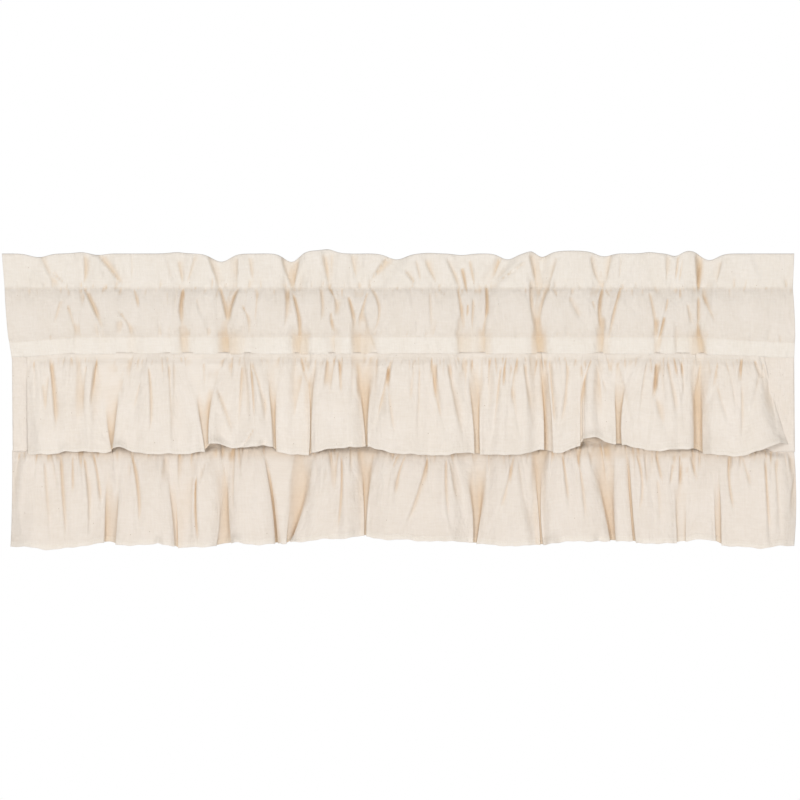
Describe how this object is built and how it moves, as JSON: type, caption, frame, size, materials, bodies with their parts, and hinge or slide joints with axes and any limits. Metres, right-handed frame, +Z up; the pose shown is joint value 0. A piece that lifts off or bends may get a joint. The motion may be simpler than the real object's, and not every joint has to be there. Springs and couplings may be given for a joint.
{
  "type": "window valance",
  "caption": "Two-tier ruffled window valance in cream muslin, with a gathered header over an open rod pocket, shown hanging.",
  "frame": {"origin": "middle of the top edge of the header, in the plane of the seams", "axes": "+X along the rod to the right as seen from the room, -Y towards the room, +Z up"},
  "size_m": [1.1072, 0.0392, 0.4155],
  "materials": {
    "heading": "matte unbleached muslin, two layers",
    "ruffle": "matte unbleached muslin, one layer"
  },
  "bodies": {
    "root": {"heading": "heading", "back_panel": "ruffle", "upper_ruffle": "ruffle", "lower_ruffle": "ruffle"}
  },
  "joints": []
}
